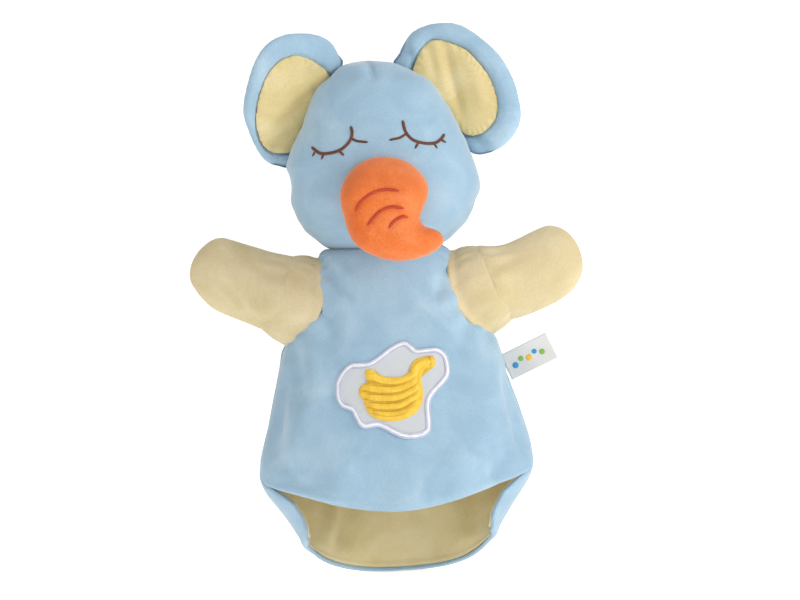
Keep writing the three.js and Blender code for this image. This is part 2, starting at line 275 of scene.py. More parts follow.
def scaled(tree, source, factor, add):  # source x factor + add, where add is a number or another node
    node = addNode(tree, "ShaderNodeMath", {"operation": "MULTIPLY_ADD"}, {0: (source, 0)})
    node.inputs[1].default_value = factor
    if isinstance(add, float):
        node.inputs[2].default_value = add
    else:
        tree.links.new(add.outputs[0], node.inputs[2])
    return node


def ramp(tree, source, output, stops):
    node = addNode(tree, "ShaderNodeValToRGB", links={"Fac": (source, output)})
    ends = node.color_ramp.elements
    ends[0].position, ends[0].color = stops[0]
    ends[1].position, ends[1].color = stops[-1]
    for place, colour in stops[1:-1]:
        ends.new(place).color = colour
    return node


def plush(name, dark, mid, light, napMm=0.7, sheen=0.35, bump=0.28, sheenTint="ffffff"):
    # Knitted polyester velboa, sheared to a pile of about 2 mm: the pile lies in soft patches that catch the
    # light differently, painted into the colour as lighter and darker patches (painted sheen and shade, laid out
    # at random), and its tips give a pale bloom along every edge from the shader's sheen. The nap is drawn
    # coarser than real.
    material, tree, shader = newMaterial(name, Roughness=0.95, Specular_IOR_Level=0.12, Sheen_Weight=sheen,
                                         Sheen_Roughness=0.45, Sheen_Tint=srgb(sheenTint))
    place = addNode(tree, "ShaderNodeTexCoord")
    patches = addNode(tree, "ShaderNodeTexNoise", links={"Vector": (place, "Object")}, Scale=38.0, Detail=3.0,
                      Roughness=0.55, Distortion=0.6)
    nap = addNode(tree, "ShaderNodeTexNoise", links={"Vector": (place, "Object")}, Scale=1 / (napMm * mm),
                  Detail=4.0, Roughness=0.7)
    # tone: the fine nap as grain, plus the patches as painted sheen and shade
    tone = scaled(tree, nap, 0.45, scaled(tree, patches, 0.75, -0.1))
    colour = ramp(tree, tone, "Value", [(0.25, srgb(dark)), (0.5, srgb(mid)), (0.75, srgb(light))])
    soft = addNode(tree, "ShaderNodeBump", links={"Height": (patches, "Fac")}, Strength=0.12,
                   Distance=0.6 * mm)
    fine = addNode(tree, "ShaderNodeBump", links={"Height": (nap, "Fac"), "Normal": (soft, "Normal")},
                   Strength=bump, Distance=0.35 * mm)
    wire(tree, shader, colour, fine)
    return material


def satinStitch(name, dark, light, threadMm=0.42):
    # Rayon embroidery thread laid side by side: each thread is a round, glossy ridge, seen as fine lines
    # across the stitched band: the colour is painted dark in the gaps between threads and light on their tops
    # (painted shade and highlight), with a random wander. UV coordinates are in mm along and across the band.
    material, tree, shader = newMaterial(name, Roughness=0.42, Specular_IOR_Level=0.4, Sheen_Weight=0.15)
    place = addNode(tree, "ShaderNodeTexCoord")
    wander = addNode(tree, "ShaderNodeTexNoise", links={"Vector": (place, "Object")}, Scale=260.0, Detail=2.0)
    threads = addNode(tree, "ShaderNodeTexWave", {"wave_type": "BANDS", "bands_direction": "X",
                                                  "wave_profile": "SIN"},
                      {"Vector": (place, "UV")}, Scale=2 * math.pi / threadMm / 20, Distortion=0.6,
                      Detail=1.0,
                      Detail_Scale=1.5)
    tone = addNode(tree, "ShaderNodeMath", {"operation": "MULTIPLY_ADD"},
                   {0: (threads, "Fac"), 2: (wander, "Fac")})
    tone.inputs[1].default_value = 0.6
    # dark is painted shade between the threads, light is a painted highlight on their tops
    colour = ramp(tree, tone, "Value", [(0.35, srgb(dark)), (0.95, srgb(light))])
    wire(tree, shader, colour, addNode(tree, "ShaderNodeBump", links={"Height": (threads, "Fac")},
                                       Strength=0.6,
                                       Distance=0.15 * mm))
    return material


def wovenCloth(name, dark, light, spacingMm=0.45, rough=0.8):
    # Plain weave: two sets of yarns cross at right angles, so the surface is a fine checker of ridges; the
    # colour is painted darker where the yarns dip between the ridges (painted shade) and lighter on them.
    material, tree, shader = newMaterial(name, Roughness=rough, Specular_IOR_Level=0.2, Sheen_Weight=0.2)
    place = addNode(tree, "ShaderNodeTexCoord")
    warp, weft = (addNode(tree, "ShaderNodeTexWave", {"bands_direction": way}, {"Vector": (place, "Object")},
                          Scale=2 * math.pi / (spacingMm * mm) / 20, Distortion=0.3) for way in "XZ")
    both = addNode(tree, "ShaderNodeMath", {"operation": "MULTIPLY"}, {0: (warp, "Fac"), 1: (weft, "Fac")})
    # dark is painted shade where the yarns dip, light is the tops of the ridges
    colour = ramp(tree, both, "Value", [(0.0, srgb(dark)), (0.7, srgb(light))])
    wire(tree, shader, colour, addNode(tree, "ShaderNodeBump", links={"Height": (both, "Value")},
                                       Strength=0.35,
                                       Distance=0.15 * mm))
    return material


velboaBlue = plush("blueVelboa", "8eaec4", "9fbdd1", "b6cfde", napMm=0.9, sheen=0.6, bump=0.55)
velboaCream = plush("creamVelboa", "c9b88a", "d7c69c", "e4d7b5", napMm=1.0, bump=0.45, sheenTint="fff6dc")
velboaEarCream = plush("earLiningVelboa", "d0bb80", "dcc993", "e9dcb0", napMm=1.0, bump=0.45,
                       sheenTint="fff4d2")
velboaOrange = plush("orangeVelboa", "d9622a", "ea7a3c", "f69a66", napMm=1.1, sheen=0.6, bump=0.8,
                     sheenTint="ffe2cc")
liningCream = plush("brushedCreamLining", "d9c893", "e6d8a9", "f0e6c2", napMm=1.0, bump=0.35,
                    sheenTint="fff6dc")
fibreWhite = plush("polyesterFibre", "e6e4de", "f1efea", "fbfaf7", napMm=1.6, bump=0.8)
threadBrown = satinStitch("brownEmbroideryThread", "3a1c10", "74401f")
threadRed = satinStitch("redEmbroideryThread", "a3260a", "cf4318")
threadYellow = satinStitch("yellowEmbroideryThread", "dfa520", "fbd54a", threadMm=0.7)
threadGold = satinStitch("goldEmbroideryThread", "c0920f", "dfb02c", threadMm=0.5)
threadWhite = satinStitch("whiteEmbroideryThread", "dcdde2", "fdfdfe", threadMm=0.5)
threadLilac = satinStitch("lilacEmbroideryThread", "a9aeca", "cfd4e6", threadMm=0.5)
patchTwill = wovenCloth("brushedPatchCloth", "c3c8cc", "d9dde0", spacingMm=0.6)
ribbonSatin = wovenCloth("wovenLabelRibbon", "cfd0d0", "e2e3e2", spacingMm=0.35, rough=0.45)
print("materials made")


carriedOver = set(bpy.data.objects.keys())   # the CAD nodes, already in the scene


# ---------- body: front panel, longer back panel, and their linings ----------
body = {"levels": [-4, 13, 31, 50, 65, 85, 105, 127, 149, 163, 170, 175, 178],
        "halfWidth": [44, 50, 61, 73, 74, 69, 63.5, 58.5, 52, 45, 40, 36.5, 32],
        "halfDepth": [29, 33, 36, 38.5, 39, 37.5, 35, 32.5, 30.5, 29, 28, 26, 22],
        "pile": 2.0, "lining": 1.0, "top": 178.0,
        "cut": {"front": (190, 150, 22500), "back": (225, 185, 32500)}}   # widest, longest, cloth area in mm2
seamLevels = [14, 18, 22, 27, 33, 41, 47, 53, 60, 180]   # level, and the back panel's edge angle from the back
seamAngles = [95, 106, 113, 118.5, 120.5, 121, 114, 101, 90, 90]
armhole = {"depth": 20.0, "height": 25.0, "slope": 2.0, "arm": 21.95, "radius": 22, "reach": (-34, 14),
           "lip": 5.0, "lowLip": 9.0, "taper": 0.17}
armAway = {side: np.array([-0.954 if side == "left" else 0.954, 0, 0.298]) for side in shoulder}


def bodyOval(z):  # half width and half depth at a level, along a smooth curve through the stations
    stations = spline(np.stack([body["levels"], body["halfWidth"], body["halfDepth"]], 1), 400)
    return np.interp(z, stations[:, 0], stations[:, 1]), np.interp(z, stations[:, 0], stations[:, 2])


def bodyFolds(x, z, side):
    # Pull of the cloth in and out: creases from the armholes, soft folds down the sides and at the hem.
    pull = 0.8 * ripple(np.stack([x, z, 0 * x], -1), 70, 3)
    if side == "front":
        lines = [((-36, 174), (-20, 150), 3.0, -2.6), ((-29, 174), (-16, 158), 4, 1.2),
                 ((-38, 150), (-30, 124), 6, -2.0), ((-52, 128), (-50, 92), 5, -2.4),
                 ((-44, 124), (-41, 80), 7, 1.5),
                 ((36, 168), (26, 148), 4, -2.2), ((46, 146), (38, 118), 6, -2.0),
                 ((56, 124), (58, 92), 5, 1.4),
                 ((50, 116), (57, 66), 8, 2.0), ((60, 106), (69, 60), 3.6, -3.0),
                 ((54, 90), (62, 52), 4, -1.4),
                 ((-58, 112), (-67, 62), 4, -2.4), ((-48, 100), (-58, 56), 7, 1.8),
                 ((-62, 66), (-48, 46), 4, -1.6),
                 ((-30, 66), (-35, 38), 9, 2.0), ((-10, 62), (-8, 34), 9, -1.5), ((30, 66), (35, 38), 9, 1.8),
                 ((50, 70), (56, 44), 5, -2.0), ((62, 62), (48, 48), 4, -1.4),
                 ((-33, 178), (-44, 168), 3, 0.6)]
    else:
        lines = [((-20, 150), (-34, 30), 11, 2.2), ((6, 140), (0, 20), 12, -2.2),
                 ((28, 120), (36, 20), 10, 2.0),
                 ((-32, 50), (-43, 14), 3.4, -4.0), ((-25, 50), (-35, 14), 5, 3.0),
                 ((33, 40), (40, 8), 5, -1.8),
                 ((16, 36), (20, 4), 8, 1.6), ((-36, 170), (-24, 140), 4, -1.8),
                 ((36, 170), (24, 140), 4, -1.8)]
    for start, end, width, depth in lines:
        pull = pull + segmentPull(x, z, start, end, width, depth)
    return pull


def ovalShare(points, side, grow=0.0):
    # How far a point lies from the armhole's slanting middle line, as a share of the oval armhole: 1 on its edge.
    u = armAway[side]
    away = points - shoulder[side]
    rise = away @ np.cross(u, [0, 1.0, 0]) * (-1 if side == "left" else 1)
    high = rise / (armhole["height"] + grow - armhole["slope"] * np.clip(rise / armhole["height"], -1, 1))
    deep = away[..., 1] / (armhole["depth"] + grow - armhole["slope"] * np.clip(high, -1, 1))
    return np.where(away @ u > armhole["reach"][0], np.hypot(high, deep), 9.0)


def bodyGrid(side, across, up, outward, raised=0.0):
    # w runs from seam to seam, v from the hem to the neck; a point is (a sin(angle), -b cos(angle), z), moved
    # along its normal by outward and by the folds, and tucked in beside seams, armholes and hems.
    w, v = np.meshgrid(np.linspace(-1, 1, across), np.linspace(0, 1, up) ** 1.05)
    hem = raised + (34 + 16 * np.abs(w) ** 1.8 if side == "front" else 19 * np.abs(w) ** 2.3)
    z = hem + v * (body["top"] - hem)
    a, b = bodyOval(z)
    edge = np.radians(np.interp(z, seamLevels, seamAngles))
    if raised:   # the lining stops just short of the low seams, so the plush shows as a thin edge
        w = w * (1 - 0.012 * smoothStep(-z, -62, -54))
    angle = w * (math.pi - edge) if side == "front" else math.pi - w * edge
    grid = np.stack([a * np.sin(angle), -b * np.cos(angle), z], -1)
    n = normals(grid)
    n = n * np.sign(n[up // 2, across // 2, 1]) * (1 if side == "back" else -1)
    arc = (1 - np.abs(w)) * (math.pi - edge if side == "front" else edge) * (a + b) / 2   # mm to the seam
    rise = z - hem + raised
    tuck = -1.6 * np.exp(-(arc / 2.2) ** 2) * smoothStep(z, 40, 60)
    tuck -= 1.3 * np.exp(-(rise / 1.6) ** 2)
    tuck += 0.7 * np.exp(-((rise - 5) / 3.5) ** 2)
    for way, centre in shoulder.items():
        d = (ovalShare(grid, way) - 1) * armhole["radius"]
        turn = np.arctan2(grid[..., 2] - centre[2], grid[..., 1])
        tuck -= 1.0 * np.exp(-(d / 2.2) ** 2)
        tuck += 0.45 * np.sin(turn * 17 + 2 * np.sin(turn * 3)) * np.exp(-((d - 4) / 5) ** 2)
    return grid + n * (outward + tuck + bodyFolds(grid[..., 0], grid[..., 2], side))[..., None]


def clothPanel(name, grid, thickness, material, grow, flip):
    # The armholes: points inside the oval at a shoulder are left out, and the first row of them that is still
    # needed is moved out to the oval's edge, so the cut edge is smooth.
    keep = np.ones(grid.shape[:2], bool)
    for side in shoulder:
        share = ovalShare(grid, side, grow)
        keep &= share >= 1
        along = (grid - shoulder[side]) @ armAway[side]
        middle = shoulder[side] + along[..., None] * armAway[side]
        edge = middle + (grid - middle) / np.maximum(share, 0.05)[..., None]
        grid = np.where((share < 1)[..., None], edge, grid)
    panel = gridPiece(name, grid, material, flip=flip, keep=keep)
    addModifier(panel, "SOLIDIFY", thickness=thickness * mm, offset=-1.0)
    applyModifiers(panel)
    return panel


bodyParts = {}
for side, across, up in (("front", 150, 130), ("back", 170, 140)):
    skin = clothPanel(f"bodySkin_{side}", bodyGrid(side, across, up, 0.0), body["pile"], velboaBlue, 0.0,
                      side == "back")
    inside = clothPanel(f"bodyLining_{side}", bodyGrid(side, across // 2, up // 2, -body["pile"] - 0.5, 2.2),
                        body["lining"], liningCream, 1.5, side == "back")
    width, length, area = body["cut"][side]
    for piece, node, slot in ((skin, f"body_{side}_panel", "blue_plush"),
                              (inside, f"body_{side}_lining", "cream_lining")):
        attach(piece, "torso")
        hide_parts(node)
    bodyParts[side] = skin


def armholeSeam(side):
    # The gathered edge where the arm is set in. For each way round the arm's middle line, the panel's cut edge is
    # found where the oval leaves the body; a loop of points runs from behind that edge out onto the arm.
    u, centre = armAway[side], shoulder[side]
    rear, up = np.array([0, 1.0, 0]), np.cross(u, [0, 1.0, 0]) * (-1 if side == "left" else 1)
    turn = np.linspace(0, 2 * math.pi, 180, endpoint=False)[:, None]
    deep = armhole["depth"] - armhole["slope"] * np.sin(turn)
    tall = armhole["height"] - armhole["slope"] * np.sin(turn)
    ring = np.cos(turn) * deep * rear + np.sin(turn) * tall * up
    reach = np.linspace(*armhole["reach"], 241)
    tube = centre + ring[:, None] + reach[None, :, None] * u
    a, b = bodyOval(tube[..., 2])
    beyond = (tube[..., 0] / a) ** 2 + (tube[..., 1] / b) ** 2 > 1
    beyond[..., -1] = True
    out = reach[np.argmax(beyond, axis=1)]
    out = np.convolve(np.r_[out[-4:], out, out[:4]], np.ones(9) / 9, "valid")[:, None]
    spoke = ring / np.linalg.norm(ring, axis=1, keepdims=True)
    pucker = np.sin(turn * 17 + 2 * np.sin(turn * 3))
    foot = centre + ring + (out + 0.3) * u
    far = np.maximum(out + armhole["lip"], -armhole["lip"]) + armhole["lowLip"] * np.clip(-np.sin(turn), 0,
                                                                                          1) ** 2
    radius = np.sqrt(armhole["arm"] ** 2 - np.minimum(far, 0) ** 2) - armhole["taper"] * np.maximum(far, 0)
    lip = centre + radius * spoke + far * u

    def between(share, lift):  # a point part of the way from the foot to the lip, lifted off the arm
        return foot + (lip - foot) * share + spoke * lift

    loop = [centre + ring * 1.04 + (out - 4.0) * u, centre + ring * 1.03 + (out - 2.2) * u, foot,
            between(0.3, 0.5 + 0.25 * pucker), between(0.65, 0.4 + 0.2 * pucker), between(0.95, -0.2),
            between(1.1, -1.4), between(0.85, -1.8), between(0.4, -1.4),
            centre + ring * 0.92 + (out - 2.0) * u, centre + ring * 0.97 + (out - 4.4) * u]
    rows = spline(np.array(loop).reshape(len(loop), -1), 44, closed=True).reshape(44, -1, 3)
    seam = gridPiece(f"armholeSeam_{side}", np.concatenate([rows, rows[:1]]), velboaCream, wrap=True,
                     flip=side == "right")
    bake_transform(seam)
    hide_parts(f"armhole_seam_{side}")


for side in shoulder:
    armholeSeam(side)
print("body made")


# ---------- head ----------
headShape = {"left": [(-3, 279.4), (-17, 278), (-25.5, 270), (-31.5, 265), (-36.5, 256), (-41.5, 243.5),
                      (-46.5, 235), (-51, 224), (-49.6, 218), (-49, 212), (-49.5, 204), (-47.5, 197),
                      (-43.5, 189), (-38.5, 184), (-33, 179.5), (-26, 176), (-20, 170), (-16, 164),
                      (-13, 158)],
             "right": [(-3, 279.4), (10.5, 276.6), (19, 273.4), (28.5, 268.5), (35.5, 260), (40.5, 252),
                       (45.5, 240), (49, 232), (52, 222), (54, 214), (54, 208), (51.5, 202), (47.5, 193),
                       (43, 187.5), (36.5, 181.5), (29, 176.5), (23, 170), (19, 164), (16, 158)],
             "depth": 0.75, "pile": 2.0}


def headGrid(rows, columns, less=0.0):
    # Rows run down from the crown; each is an oval between the left and right edges, its depth a share of its
    # width, with the front a little squarer than a true oval.
    left = spline(headShape["left"], rows)
    right = spline(headShape["right"], rows)
    level = (left[:, 1] + right[:, 1]) / 2
    middle = (left[:, 0] + right[:, 0]) / 2
    half = np.maximum((right[:, 0] - left[:, 0]) / 2 - less, 0.02)
    if less:
        level = level - less * smoothStep(level, 240, 279)
    angle = np.linspace(0, 2 * math.pi, columns, endpoint=False)
    c, s = np.cos(angle), np.sin(angle)
    x = middle[:, None] + half[:, None] * c
    cheeks = 1.5 * smoothStep(level, 190, 215) * smoothStep(-level, -262, -235)
    depth = half * (headShape["depth"] + 0.06 * smoothStep(level, 240, 262)) + cheeks
    y = -depth[:, None] * np.sign(s) * np.abs(s) ** 0.92
    return np.stack([x, y, np.repeat(level[:, None], columns, 1)], -1)


def shapeHead(grid):
    # The dart at the crown, the seams up both sides, and a slow unevenness of the stuffing.
    x, y, z = grid[..., 0], grid[..., 1], grid[..., 2]
    n = normals(grid)
    n = n if n[len(grid) // 2, 0, 0] > 0 else -n
    pull = 0.55 * ripple(grid, 60, 11)
    front = smoothStep(-y, -2, 6)
    pull -= segmentPull(x, z, (-3.5, 280), (-1, 269), 2.2, 1.6) * front
    pull += segmentPull(x, z, (-9, 277), (-7, 268), 4, 0.8) * front
    pull += segmentPull(x, z, (4, 277), (5, 268), 4, 0.8) * front
    pull -= 1.1 * np.exp(-(y / 2.0) ** 2) * smoothStep(-z, -277, -268)
    pull += 0.12 * np.exp(-((np.abs(y) - 4) / 3) ** 2) * np.sin(z * 0.55 + 2 * np.sin(z * 0.13))
    return grid + n * np.maximum(pull, -1.5)[..., None]


outerHead = shapeHead(headGrid(150, 200))
innerHead = shapeHead(headGrid(150, 200, headShape["pile"]))
skinHead = gridPiece("headSkin", np.concatenate([outerHead, innerHead[::-1]]), velboaBlue, wrap=True)
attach(skinHead, "head")
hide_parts("head_front_panel", "head_back_panel")


def surfaceTree(piece):
    graph = bpy.context.evaluated_depsgraph_get()
    return BVHTree.FromObject(piece, graph)


def layOn(tree, points, lift):
    # Drops front-view points (x, z) onto a surface from the front; returns the points and the surface normals.
    found, ways = [], []
    for x, z in points:
        hit, way, _, _ = tree.ray_cast(Vector((x * mm, -0.3, z * mm)), Vector((0, 1, 0)))
        if hit is None:
            hit, way, _, _ = tree.find_nearest(Vector((x * mm, -0.04, z * mm)))
        way = way if way.y < 0 else -way
        found.append(np.array(hit) / mm + np.array(way) * lift)
        ways.append(np.array(way))
    return np.array(found), np.array(ways)


def stitchBand(path, ways, halfWidth, height, around=12):
    # A flat oval carried along a path: side vector = tangent x normal, the oval's top along the normal.
    tangent = np.gradient(path, axis=0)
    tangent /= np.linalg.norm(tangent, axis=1, keepdims=True)
    side = np.cross(tangent, ways)
    side /= np.linalg.norm(side, axis=1, keepdims=True)
    angle = np.linspace(0, 2 * math.pi, around, endpoint=False)
    width = np.broadcast_to(np.asarray(halfWidth, float), len(path))
    share = width / width.max()
    return (path[:, None] + side[:, None] * (width[:, None] * np.cos(angle))[..., None]
            + ways[:, None] * (height * share[:, None] * np.sin(angle))[..., None])


def bandPiece(name, tree, line, halfWidth, height, material, lift=0.1, taper=2.0, closed=False, count=None):
    flat = spline(line, count or max(16, int(12 * len(line))), closed)
    if closed:
        flat = np.vstack([flat, flat[:1]])
    path, ways = layOn(tree, flat, lift)
    run = np.r_[0, np.cumsum(np.linalg.norm(np.diff(path, axis=0), axis=1))]
    width = halfWidth * np.ones(len(path))
    if not closed and taper:
        width = halfWidth * np.sqrt(np.clip(np.minimum(run, run[-1] - run) / taper, 0, 1))
    grid = stitchBand(path, ways, width, height)
    return gridPiece(name, grid, material, wrap=True, uvSize=(2 * halfWidth, run[-1]), turned=True)


def joinPieces(name, pieces):
    with bpy.context.temp_override(active_object=pieces[0], selected_editable_objects=pieces):
        bpy.ops.object.join()
    pieces[0].name = name
    return pieces[0]


headTree = surfaceTree(skinHead)
eyes = {
    "eye_left": [[(-14.6, 244), (-14, 240.5), (-14.8, 237), (-17.5, 233.5), (-21.5, 231), (-26.5, 229.8),
                  (-31.5, 230), (-34.5, 232), (-36.5, 234)],
                 [(-15, 237.5), (-11.5, 235.5), (-5.5, 234.5)], [(-34.3, 231.3), (-36.4, 228.6)],
                 [(-29.6, 229.8), (-31.6, 226.6)], [(-21.8, 231), (-19, 228)]],
    "eye_right": [[(13.6, 245.5), (14.6, 240), (16.5, 236.5), (19.5, 234), (23.5, 232.6), (27.5, 232),
                   (31, 232.4), (33.8, 234.2), (36, 237)],
                  [(15.2, 238), (11.5, 236), (5.6, 235)], [(21.6, 232.9), (19.4, 229.6)],
                  [(29.8, 232.1), (31.6, 229)], [(33.4, 234), (36.6, 232)]]}
for node, lines in eyes.items():
    strokes = [bandPiece(f"{node}_{i}", headTree, line, 0.9 if i == 0 else 0.7, 0.6, threadBrown, taper=1.5)
               for i, line in enumerate(lines)]
    eye = joinPieces(f"{node}_embroidery", strokes)
    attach(eye, "head")
    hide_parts(node)
print("head made")


# ---------- trunk ----------
trunk = {"outline": [(1.5, 227.3), (9, 226.2), (15, 223.8), (20, 220), (24.2, 215), (26.4, 210), (26.3, 205),
                     (24.4, 199.5), (22.2, 194.5), (21.7, 190.5), (24, 187.2), (29, 184.8), (32.6, 181.8),
                     (33.6, 178), (31.5, 174.4), (26.5, 171.4), (20, 169.2), (12, 168.2), (3, 168.8),
                     (-5, 171.5), (-13, 176), (-18.5, 182.5), (-20.8, 190), (-22.3, 197), (-23.4, 204.5),
                     (-22.2, 211.5), (-18.6, 218), (-12.5, 223.6), (-5.5, 226.6)],
         "middle": (2, 197), "back": -40.2, "thick": 25.6, "round": 13.0}


def edgeDistance(x, z, outline):  # least distance from each point to the outline's points
    d = np.full(x.shape, 1e9)
    for px, pz in outline:
        d = np.minimum(d, np.hypot(x - px, z - pz))
    return d


def pillowGrid(outline, middle, rows, yBack, yFront, roundness):
    # Rings run from the middle out to the seam and back in; the thickness rises from the seam as a quarter
    # circle of the distance to it.
    r = np.linspace(0.001, 1, rows)
    ring = np.array(middle) + r[:, None, None] * (outline[None] - np.array(middle))
    d = edgeDistance(ring[..., 0], ring[..., 1], outline)
    d = np.where(r[:, None] > 0.999, 0, d)
    swell = np.sqrt(1 - (1 - np.minimum(d / roundness, 1)) ** 2)
    seam = (yBack + yFront) / 2
    front = np.stack([ring[..., 0], seam + (yFront - seam) * swell, ring[..., 1]], -1)
    back = np.stack([ring[..., 0], seam + (yBack - seam) * swell, ring[..., 1]], -1)
    return np.concatenate([front, back[::-1][1:]])


def leanBack(co, limit):  # the top is sewn to the face, so it leans back to meet it, and no further than limit
    leant = np.minimum(co[:, 1] + 9.5 * smoothStep(co[:, 2], 204, 227), limit)
    co[:, 1] = np.where(co[:, 2] > 204, leant, co[:, 1])


trunkLine = spline(trunk["outline"], 160, closed=True)
inward = trunkLine + (np.array(trunk["middle"]) - trunkLine) * 0.012
padTrunk = gridPiece("trunkSkin", pillowGrid(inward, trunk["middle"], 26, trunk["back"],
                     trunk["back"] - trunk["thick"], trunk["round"]), velboaOrange, wrap=True)
stuff(padTrunk, 2.2, 1.2)
co = coords(padTrunk) / mm
seamY = trunk["back"] - trunk["thick"] / 2
d = edgeDistance(co[:, 0], co[:, 2], trunkLine[::2])
groove = 0.9 * np.exp(-((co[:, 1] - seamY) / 1.3) ** 2) * np.exp(-(d / 5) ** 2)
leanBack(co, -38.8)
toMiddle = np.array([trunk["middle"][0], 0, trunk["middle"][1]]) - co * [1, 0, 1]
toMiddle /= np.linalg.norm(toMiddle, axis=1, keepdims=True)
co += toMiddle * groove[:, None]
creases = [[(-14.5, 197), (-12.6, 200.4), (-9.5, 203.6), (-5.4, 206.2), (-1, 207.7), (4.5, 208),
            (9.8, 206.8)],
           [(-8.5, 189), (-6, 192), (-2.4, 195.6), (1.6, 197.8), (6, 198.6), (11.8, 197.4)],
           [(3, 187), (5, 189.8), (7.8, 191.9), (10.8, 193), (13.8, 192.4)]]
for line in creases:   # the stitches draw the plush in
    d = edgeDistance(co[:, 0], co[:, 2], spline(line, 40))
    co[:, 1] += 0.7 * np.exp(-(d / 1.8) ** 2) * (co[:, 1] < seamY - 4)
setCoords(padTrunk, co * mm)
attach(padTrunk, "trunk")
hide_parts("trunk_front_panel", "trunk_back_panel")
trunkTree = surfaceTree(padTrunk)
core = drawIn(trunkLine, 3.2)
fibre = gridPiece("trunkFibre", pillowGrid(core, trunk["middle"], 20, trunk["back"] - 3,
                                           trunk["back"] - trunk["thick"] + 4,
                  8.0), fibreWhite, wrap=True)
co = coords(fibre) / mm
leanBack(co, -43)
setCoords(fibre, co * mm)
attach(fibre, "trunk")
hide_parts("trunk_stuffing")
for i, line in enumerate(creases):
    crease = bandPiece(f"trunkCrease_{i + 1}", trunkTree, line, 0.85, 0.75, threadRed, lift=0.4, taper=3.0)
    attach(crease, "trunk")
    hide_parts(f"trunk_crease_{i + 1}")
print("trunk made")


# ---------- ears ----------
ears = {
    "left": {"outer": [(-17, 278), (-19, 284), (-22.5, 290.5), (-29, 294.8), (-38, 296.4), (-48, 296),
                       (-57, 292), (-64, 284), (-69.5, 271), (-73, 256), (-71, 246), (-67.5, 236),
                       (-62.5, 228),
                       (-55, 224.5), (-47, 224), (-38, 238), (-28, 258)],
             "inner": [(-22, 268), (-25.5, 276), (-31, 281), (-37.5, 284.5), (-43.5, 285.5), (-51.5, 283),
                       (-58.5, 276), (-63.5, 266), (-66.8, 253), (-66, 241), (-61.5, 233), (-54, 230.5),
                       (-46, 232), (-38, 242), (-27, 258)], "middle": (-45, 255), "turn": 24,
             "creases": [((-40, 284), (-31, 262), 3.0, 1.8), ((-34, 276), (-50, 258), 3.4, -1.2),
                         ((-36, 262), (-58, 250), 3.0, 1.7), ((-42, 250), (-62, 240), 3.4, -1.1),
                         ((-44, 242), (-60, 236), 2.6, 1.4)]},
    "right": {"outer": [(10.5, 276), (13.5, 283), (17, 289), (22, 294.5), (30, 297.6), (39, 298.3),
                        (48, 296.6), (57, 290.5), (66, 282), (71.5, 274), (76.5, 262), (78.6, 248), (77, 239),
                        (71, 231), (62, 226), (51, 225.5), (42, 238), (28, 258)],
              "inner": [(20, 270), (22, 280), (26.5, 287), (33, 290.4), (41, 288.6), (50.5, 284), (57, 277),
                        (63, 268), (66.8, 256), (66, 245), (61, 238), (54.5, 234.6), (47, 235.5), (40, 243),
                        (30, 258)], "middle": (47, 257), "turn": 6,
              "creases": [((38, 287), (46, 244), 3.4, 1.7), ((30, 288), (33, 266), 3.0, 1.0),
                          ((52, 278), (58, 250), 4.0, -0.9)]}}
earRoot = {"left": ((-19.5, 274), (-47.5, 235)), "right": ((22.5, 274), (50.5, 235))}


def rootDistance(x, z, side):  # distance outwards from the line where the ear is sewn to the head
    (ax, az), (bx, bz) = earRoot[side]
    out = ((x - ax) * (bz - az) - (z - az) * (bx - ax)) / math.hypot(bx - ax, bz - az)
    return out if side == "left" else -out


def earLean(x, z, side):  # how far the ear's plane comes forward: distance to the root line x tan(turn)
    return -np.maximum(rootDistance(x, z, side), -6) * math.tan(math.radians(ears[side]["turn"]))


def leanEar(piece, co, side):
    co[:, 1] += earLean(co[:, 0], co[:, 2], side)
    setCoords(piece, co * mm)


def withinLine(x, z, line, middle):  # nearer the middle than the line is, in the same direction
    away = line - middle
    reach = np.array(sorted(zip(np.arctan2(away[:, 1], away[:, 0]), np.linalg.norm(away, axis=1)))).T
    return np.hypot(x - middle[0], z - middle[1]) < np.interp(np.arctan2(z - middle[1], x - middle[0]),
                                                              *reach,
                                                              period=2 * math.pi)


